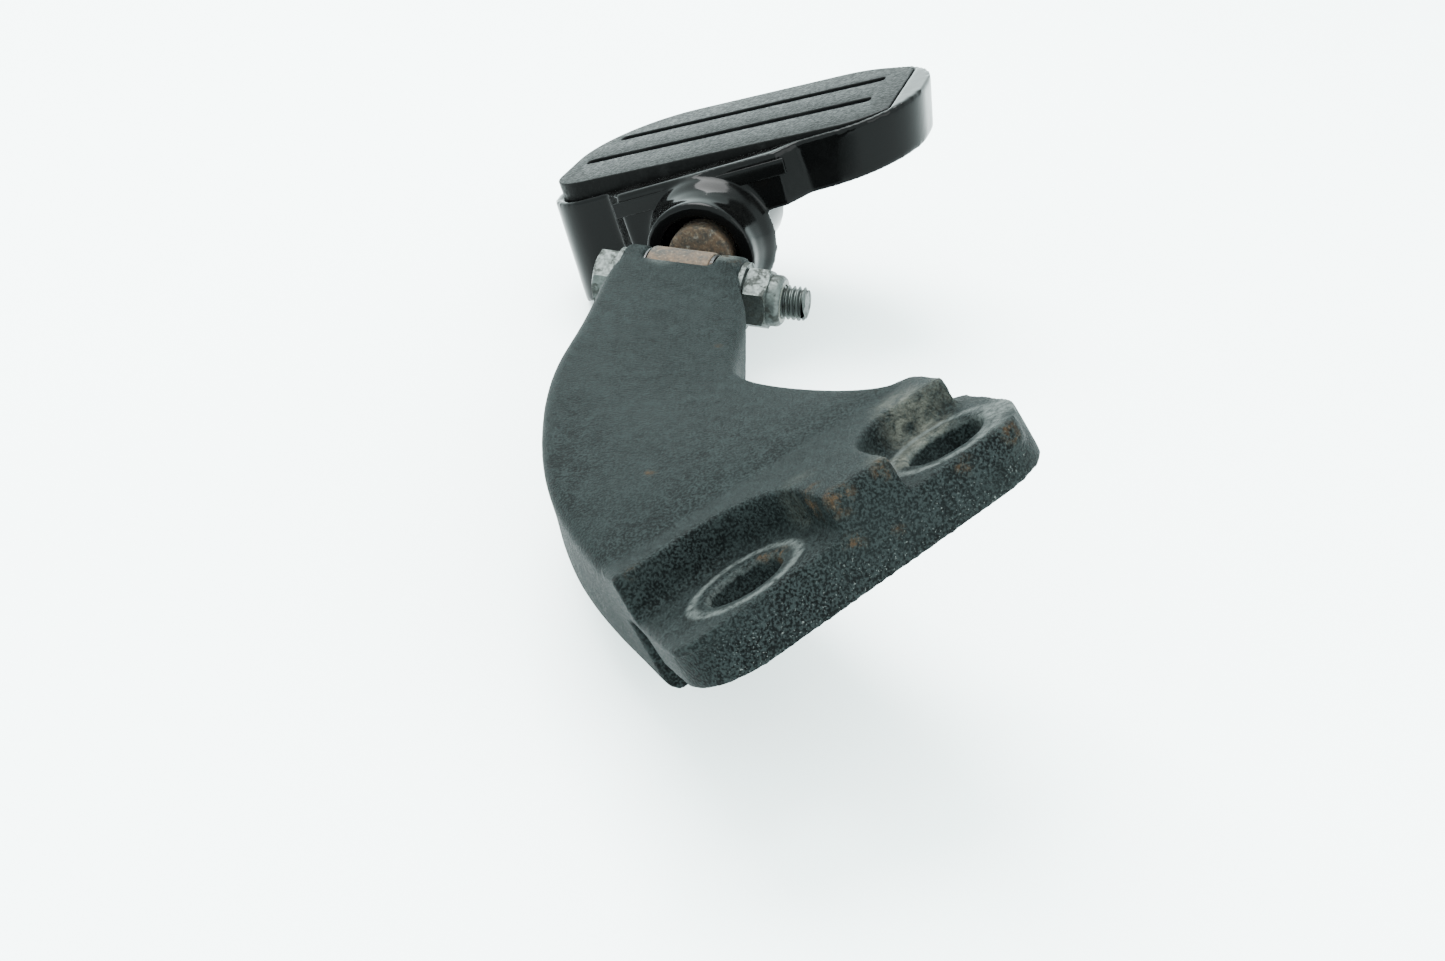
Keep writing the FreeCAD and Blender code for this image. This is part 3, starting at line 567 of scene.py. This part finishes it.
def makePivotNut():
    plan = pivotPlan
    nut = hexBlank("pivotNut", plan["flats"], plan["hexHeight"], True, True)
    low = plan["hexHeight"] - 1
    high = plan["hexHeight"] + plan["collarHeight"]
    collar = lathe("nutCollar", ((0, low), (plan["collarRadius"], low), (plan["collarRadius"], high - 1.1),
                                 (plan["collarRadius"] - 0.2, high - 0.6), (plan["collarRadius"] - 0.6, high - 0.15),
                                 (plan["insertRadius"] + 0.15, high), (0, high)))
    combine(nut, collar, "UNION")
    floor = high - plan["insertHeight"]
    bore = lathe("nutBore", ((0, -1), (4.6, -1), (4.02, 0.6), (4.02, floor), (plan["insertRadius"], floor),
                             (plan["insertRadius"], high + 1), (0, high + 1)))
    combine(nut, bore, "DIFFERENCE")
    place(nut, boltFrame @ Matrix.Translation((0, 0, plan["nutStart"] * mm)))
    finishPiece(nut, "bracket", "zinc_plated_steel", zinc, "pivot_nut")


makePivotBolt()
makePivotNut()


# hinge tang

tangPlan = {"voxel": 0.35 * mm, "softening": 5}


def makeTang():
    tang = copyOfNode("hinge_tang", "hingeTang")
    modify(tang, "REMESH", mode="VOXEL", voxel_size=tangPlan["voxel"])
    modify(tang, "SMOOTH", factor=0.5, iterations=tangPlan["softening"])
    finishPiece(tang, "peg", "rusty_steel", rustySteel, "hinge_tang", angle=60)


makeTang()


# foot board: board frame, hub's axis along Y

boardPlan = {"blockHalf": 26, "wall": 30, "facet": 8, "voxel": 0.56 * mm, "softening": 11, "stripHalf": 23.5, "stripFront": 24.9,
             "stripLow": 5.6, "stripHigh": 1.7, "rimAtMiddle": 17.0, "rimSlope": 0.0547,
             "flareStart": 17.5, "flareEnd": 26, "hubRadius": 13.8, "flareRadius": 16.6}


def boxBetween(name, low, high):
    centre = (Vector(low) + Vector(high)) / 2 * mm
    size = (Vector(high) - Vector(low)) * mm
    bpy.ops.object.select_all(action="DESELECT")
    bpy.ops.mesh.primitive_cube_add(size=1, location=centre, scale=size)
    made = bpy.context.object
    made.name = name
    return place(made, Matrix.Identity(4))


def makeFootBoard():
    plan = boardPlan
    board = copyOfNode("foot_board", "footBoard")
    place(board, boardFrame.inverted())
    flare = lathe("hubFlare", ((9, plan["flareStart"]), (plan["hubRadius"] + 0.02, plan["flareStart"]), (14.6, 21), (15.8, 23.4),
                               (plan["flareRadius"], plan["flareEnd"]), (9, plan["flareEnd"]), (9, plan["flareStart"])))
    place(flare, Matrix.Rotation(math.radians(-90), 4, "X"))
    combine(board, flare, "UNION")
    for side in (-1, 1):
        half = plan["facet"] / 2
        cutter = boxBetween("facetCutter", (-half, -half, -40), (half, half, 40))
        place(cutter, Matrix.Translation((side * plan["blockHalf"] * mm, (plan["wall"] - plan["facet"] / math.sqrt(2)) * mm, 0))
              @ Matrix.Rotation(math.radians(45), 4, "Z"))
        combine(board, cutter, "DIFFERENCE")
    place(board, boardFrame)
    modify(board, "REMESH", mode="VOXEL", voxel_size=plan["voxel"])
    modify(board, "SMOOTH", factor=0.5, iterations=plan["softening"])
    finishPiece(board, "peg", "gloss_black_paint", glossPaint, "foot_board", angle=60)


def makeStrip():
    # A plain raised band under the rim, on the near face of the middle block.
    plan = boardPlan
    half = plan["stripHalf"]
    strip = boxBetween("nearStrip", (-half, plan["stripFront"], -plan["stripLow"]), (half, 26, -plan["stripHigh"]))
    pick(strip, "VERT", lambda vert: vert.co.x > 0)
    bpy.ops.transform.translate(value=(0, 0, plan["rimSlope"] * half * mm))
    leaveEdit()
    pick(strip, "VERT", lambda vert: vert.co.x < 0)
    bpy.ops.transform.translate(value=(0, 0, -plan["rimSlope"] * half * mm))
    leaveEdit()
    modify(strip, "BEVEL", width=0.35 * mm, segments=3, limit_method="ANGLE")
    place(strip, boardFrame @ Matrix.Translation((0, 0, plan["rimAtMiddle"] * mm)))
    finishPiece(strip, "peg", "gloss_black_paint", glossPaint, angle=30)


makeFootBoard()
makeStrip()


# rubber pad

padPlan = {"edgeRound": 0.8 * mm}


def makePad():
    pad = copyOfNode("rubber_pad", "ribbedPad")
    flatten(pad)
    modify(pad, "BEVEL", width=padPlan["edgeRound"], segments=4, limit_method="ANGLE", angle_limit=math.radians(35),
           use_clamp_overlap=True, miter_outer="MITER_ARC")
    finishPiece(pad, "peg", "black_rubber", rubber, "rubber_pad", angle=30)


makePad()


# fasteners under the board and in the hub

screwPlan = {"places": ((-28, 47), (4, 69), (36, 47)), "headBottom": 6.2, "headHeight": 2.8, "headRadius": 4.4,
             "end": 16.2, "radius": 2.45, "pitch": 0.8}
tangBoltPlan = {"headTop": 49.3, "headHeight": 5.3, "flats": 13, "start": 26, "radius": 3.97, "pitch": 1.25}


def makePadScrew():
    plan = screwPlan
    top = plan["headHeight"]
    radius = plan["headRadius"]
    screw = lathe("padScrew", ((0, 0), (2.6, 0), (3.6, 0.35), (4.15, 0.95), (radius, 1.7), (radius, top), (0, top)))
    socket = hexBlank("screwSocket", 3, 2, False, False)
    place(socket, Matrix.Translation((0, 0, -0.2 * mm)))
    combine(screw, socket, "DIFFERENCE")
    thread = threadedRod("screwThread", plan["radius"], top - 0.4, plan["end"] - plan["headBottom"], plan["pitch"], 0.5)
    combine(screw, thread, "UNION")
    return screw


def makeFasteners():
    pattern = makePadScrew()
    for index, (x, y) in enumerate(screwPlan["places"]):
        screw = copyOf(pattern, "padScrew%d" % index)
        place(screw, boardFrame @ Matrix.Translation((x * mm, y * mm, screwPlan["headBottom"] * mm)))
        finishPiece(screw, "peg", "zinc_plated_steel", zinc, *(("pad_screws",) if index == 0 else ()))
    bpy.data.objects.remove(pattern)
    plan = tangBoltPlan
    bolt = boltHead("tangBolt", plan["flats"], plan["headHeight"])
    place(bolt, Matrix.Rotation(math.radians(180), 4, "X") @ Matrix.Translation((0, 0, -plan["headTop"] * mm)))
    thread = threadedRod("tangThread", plan["radius"], plan["start"], plan["headTop"] - plan["headHeight"] + 0.5, plan["pitch"], 0.01)
    combine(bolt, thread, "UNION")
    place(bolt, hubFrame)
    finishPiece(bolt, "peg", "zinc_plated_steel", zinc, "tang_bolt")


makeFasteners()


# the rest stay as they are, with better finishes

finishes = {"head_washer": zinc, "nut_washer": zinc, "nut_insert": nylon, "spring_washer": darkSteel,
            "thrust_washer": darkSteel, "pivot_bushing": bronze, "pad_plate": zinc, "pad_washers": zinc,
            "tang_lock_washer": darkSteel, "hub_grub_screw": darkSteel}
for nodeName, material in finishes.items():
    nodes[nodeName].data.materials.clear()
    nodes[nodeName].data.materials.append(material)
print("finishes given to", len(finishes), "plain pieces")


# floor, light and camera

stagePlan = {"floorSize": 6, "floorColour": (0.8, 0.84, 0.84, 1), "world": 6.5, "key": 45, "keyPlace": (-0.35, 0.35, 0.9),
             "fill": 16, "fillPlace": (0.8, -0.5, 0.5)}


def makeFloor():
    bpy.ops.object.select_all(action="DESELECT")
    bpy.ops.mesh.primitive_grid_add(x_subdivisions=8, y_subdivisions=8, size=stagePlan["floorSize"],
                                    location=(0, 0, cadBounds[0][2]))
    floor = bpy.context.object
    floor.name = "studioFloor"
    material, tree, shader = newMaterial("studioSurface", specular=0.2)
    cloud = ranged(tree, noiseValue(tree, 6, 3), 0.3, 0.7, 0, 0.3)
    wire(tree, shader, **{"Base Color": mixed(tree, cloud, stagePlan["floorColour"], grey(0.79, (0.96, 1, 1)))})
    shader.inputs["Roughness"].default_value = 0.8
    floor.data.materials.append(material)


def addAreaLight(name, power, location, size):
    light = bpy.data.lights.new(name, "AREA")
    light.energy = power
    light.size = size
    lamp = bpy.data.objects.new(name, light)
    bpy.context.scene.collection.objects.link(lamp)
    lamp.location = location
    lamp.rotation_euler = (Vector((-0.05, 0.09, -0.02)) - lamp.location).to_track_quat("-Z", "Y").to_euler()


def makeStage():
    makeFloor()
    world = bpy.data.worlds.new("studioWorld")
    world.use_nodes = True
    world.node_tree.nodes["Background"].inputs["Color"].default_value = (0.84, 1.0, 0.99, 1)
    world.node_tree.nodes["Background"].inputs["Strength"].default_value = stagePlan["world"]
    bpy.context.scene.world = world
    addAreaLight("keyLight", stagePlan["key"], stagePlan["keyPlace"], 0.7)
    addAreaLight("fillLight", stagePlan["fill"], stagePlan["fillPlace"], 0.8)
    camera = bpy.data.objects.new("mainCamera", bpy.data.cameras.new("mainCamera"))
    bpy.context.scene.collection.objects.link(camera)
    camera.location = (0.03966, -0.1938, 0.1280)
    camera.rotation_euler = (math.radians(58), 0, math.radians(17))
    camera.data.lens = 38.27
    camera.data.sensor_width = 36
    camera.data.clip_start = 0.01
    bpy.context.scene.camera = camera


makeStage()
print("stage set")
